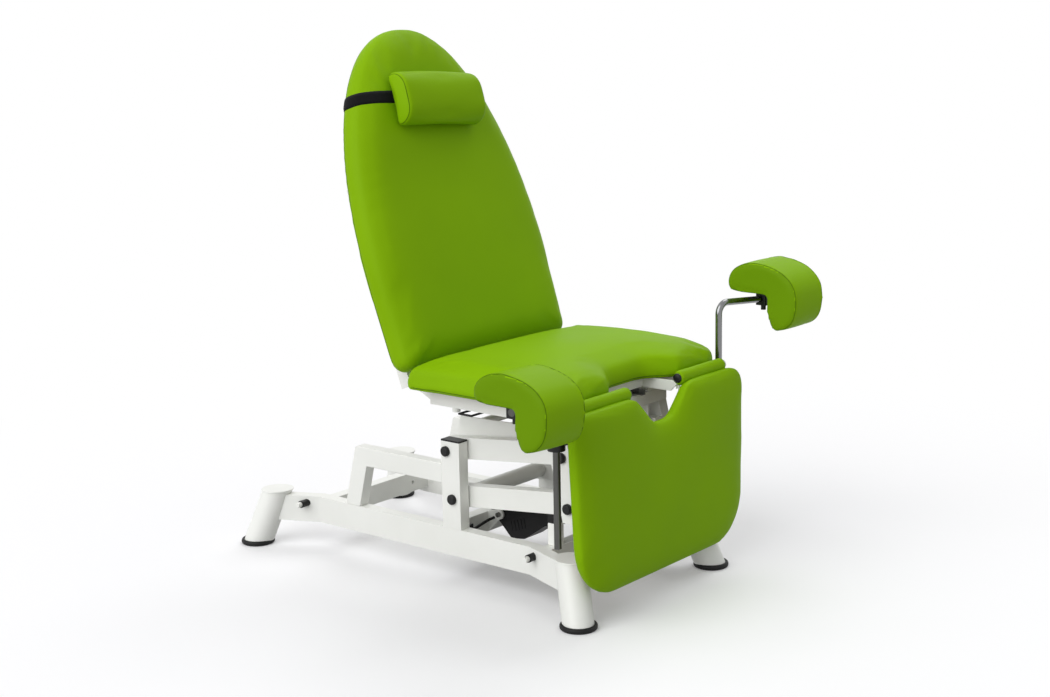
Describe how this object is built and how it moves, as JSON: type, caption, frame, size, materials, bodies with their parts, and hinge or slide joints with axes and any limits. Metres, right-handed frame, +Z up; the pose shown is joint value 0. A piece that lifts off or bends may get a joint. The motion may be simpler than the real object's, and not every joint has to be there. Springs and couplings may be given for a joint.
{
  "type": "gynaecological chair",
  "caption": "Electric gynaecological chair with a parallelogram lift on a steel base, a reclining back, a swinging leg panel and adjustable upholstered knee supports",
  "frame": {"origin": "on the floor, under the middle of the chair's bounding box, lift down and back raised", "axes": "+Z up, -Y is the way the sitter faces, -X is the sitter's right"},
  "size_m": [1.0526, 1.1805, 1.2514],
  "materials": {
    "white_paint": "satin",
    "lime_vinyl": "satin",
    "black_plastic": "matte",
    "rubber": "matte",
    "steel": "satin",
    "bright_steel": "polished",
    "plywood": "matte",
    "strap_fabric": "matte"
  },
  "bodies": {
    "base": {"side_rails": "white_paint", "base_cross_tubes": "white_paint", "foot_tubes": "white_paint", "rubber_boots": "rubber", "posts": "white_paint", "base_caps": "black_plastic", "rear_braces": "white_paint", "stop_posts": "white_paint", "stop_buffers": "rubber", "rail_pins": "white_paint", "rail_pin_sleeves": "black_plastic", "base_pivot_shafts": "steel", "control_box": "black_plastic", "motor_lead": "black_plastic"},
    "upper_arms": {"upper_arms": "white_paint", "upper_torsion_tube": "white_paint"},
    "lower_arms": {"lower_arms": "white_paint", "lower_torsion_tubes": "white_paint", "actuator_fork": "white_paint"},
    "actuator": {"actuator_motor": "black_plastic", "actuator_tube": "steel"},
    "actuator_rod": {"actuator_rod": "bright_steel"},
    "lift_frame": {"lift_uprights": "white_paint", "lift_beam": "white_paint", "lift_side_plates": "white_paint", "front_pivot_pins": "steel", "front_pivot_caps": "black_plastic", "seat_side_tubes": "white_paint", "seat_cross_bars": "white_paint", "seat_board": "plywood", "seat_cushion": "lime_vinyl", "basin_rails": "steel", "gas_spring_cylinder": "black_plastic", "leg_hinge_rods": "steel", "rod_clamps": "black_plastic"},
    "release_lever": {"release_lever": "black_plastic"},
    "gas_spring_rod": {"gas_spring_rod": "steel"},
    "back": {"back_side_tubes": "white_paint", "back_cross_tubes": "white_paint", "back_board": "plywood", "back_cushion": "lime_vinyl", "head_pillow": "lime_vinyl", "pillow_strap": "strap_fabric"},
    "leg": {"leg_straps": "white_paint", "leg_board": "plywood", "leg_cushion": "lime_vinyl", "leg_hinge_rolls": "lime_vinyl"},
    "clamp_knob_right": {"clamp_knob_right": "black_plastic"},
    "rod_bush_right": {"rod_bush_right": "black_plastic"},
    "support_rod_right": {"support_rod_right": "bright_steel"},
    "arm_clamp_right": {"arm_clamp_right": "black_plastic"},
    "pad_right": {"pad_plate_right": "steel", "knee_pad_right": "lime_vinyl"},
    "clamp_knob_left": {"clamp_knob_left": "black_plastic"},
    "rod_bush_left": {"rod_bush_left": "black_plastic"},
    "support_rod_left": {"support_rod_left": "bright_steel"},
    "arm_clamp_left": {"arm_clamp_left": "black_plastic"},
    "pad_left": {"pad_plate_left": "steel", "knee_pad_left": "lime_vinyl"}
  },
  "joints": [
    {"name": "lift", "type": "hinge", "parent": "base", "child": "lower_arms", "pos_m": [0, -0.05373, 0.199], "axis": [-1, 0, 0], "range_deg": [0, 50]},
    {"name": "upper_arm_swing", "type": "hinge", "parent": "base", "child": "upper_arms", "pos_m": [0, -0.03773, 0.311], "axis": [-1, 0, 0], "range_deg": [0, 50]},
    {"name": "lift_frame_level", "type": "hinge", "parent": "lower_arms", "child": "lift_frame", "pos_m": [0, -0.38976, 0.2355], "axis": [-1, 0, 0], "range_deg": [-50, 0]},
    {"name": "actuator_swing", "type": "hinge", "parent": "base", "child": "actuator", "pos_m": [0, -0.06273, 0.127], "axis": [-1, 0, 0], "range_deg": [0, 46]},
    {"name": "actuator_stroke", "type": "slide", "parent": "actuator", "child": "actuator_rod", "axis": [0, -0.98, 0.1988], "range_m": [0, 0.058]},
    {"name": "back_recline", "type": "hinge", "parent": "lift_frame", "child": "back", "pos_m": [0, 0.00427, 0.48], "axis": [-1, 0, 0], "range_deg": [0, 71]},
    {"name": "gas_spring_stroke", "type": "slide", "parent": "lift_frame", "child": "gas_spring_rod", "axis": [0, -1, 0], "range_m": [0, 0.065]},
    {"name": "leg_swing", "type": "hinge", "parent": "lift_frame", "child": "leg", "pos_m": [0, -0.48073, 0.485], "axis": [-1, 0, 0], "range_deg": [0, 85]},
    {"name": "release_lever_pull", "type": "hinge", "parent": "lift_frame", "child": "release_lever", "pos_m": [-0.2, -0.16273, 0.428], "axis": [0, 1, 0], "range_deg": [0, 6], "stiffness_Nm_per_rad": 0.6},
    {"name": "clamp_knob_turn_right", "type": "hinge", "parent": "lift_frame", "child": "clamp_knob_right", "pos_m": [-0.277, -0.45173, 0.42132], "axis": [-1, 0, 0], "range_deg": [0, 180]},
    {"name": "rod_swivel_right", "type": "hinge", "parent": "lift_frame", "child": "rod_bush_right", "pos_m": [-0.306, -0.45173, 0.425], "axis": [0, 0, 1], "range_deg": [-25, 25]},
    {"name": "rod_height_right", "type": "slide", "parent": "rod_bush_right", "child": "support_rod_right", "axis": [0, 0, 1], "range_m": [-0.045, 0.2]},
    {"name": "pad_tilt_right", "type": "hinge", "parent": "support_rod_right", "child": "arm_clamp_right", "pos_m": [-0.46428, -0.47511, 0.52081], "axis": [-0.9869, -0.1457, -0.0698], "range_deg": [-30, 30]},
    {"name": "pad_turn_right", "type": "hinge", "parent": "arm_clamp_right", "child": "pad_right", "pos_m": [-0.46428, -0.47511, 0.52081], "axis": [0, 0, 1], "range_deg": [-25, 25]},
    {"name": "clamp_knob_turn_left", "type": "hinge", "parent": "lift_frame", "child": "clamp_knob_left", "pos_m": [0.277, -0.45173, 0.42132], "axis": [1, 0, 0], "range_deg": [0, 180]},
    {"name": "rod_swivel_left", "type": "hinge", "parent": "lift_frame", "child": "rod_bush_left", "pos_m": [0.306, -0.45173, 0.425], "axis": [0, 0, 1], "range_deg": [-25, 25]},
    {"name": "rod_height_left", "type": "slide", "parent": "rod_bush_left", "child": "support_rod_left", "axis": [0, 0, 1], "range_m": [-0.136, 0.109]},
    {"name": "pad_tilt_left", "type": "hinge", "parent": "support_rod_left", "child": "arm_clamp_left", "pos_m": [0.46428, -0.47511, 0.60981], "axis": [0.9869, -0.1457, -0.0698], "range_deg": [-30, 30]},
    {"name": "pad_turn_left", "type": "hinge", "parent": "arm_clamp_left", "child": "pad_left", "pos_m": [0.46428, -0.47511, 0.60981], "axis": [0, 0, 1], "range_deg": [-25, 25]}
  ],
  "couplings": [
    {"joint": "upper_arm_swing", "follows": "lift", "ratio": 1},
    {"joint": "lift_frame_level", "follows": "lift", "ratio": -1},
    {"joint": "actuator_swing", "follows": "lift", "ratio": 0.914},
    {"joint": "actuator_stroke", "follows": "lift", "m_per_rad": 0.065},
    {"joint": "gas_spring_stroke", "follows": "back_recline", "m_per_rad": 0.0515}
  ]
}
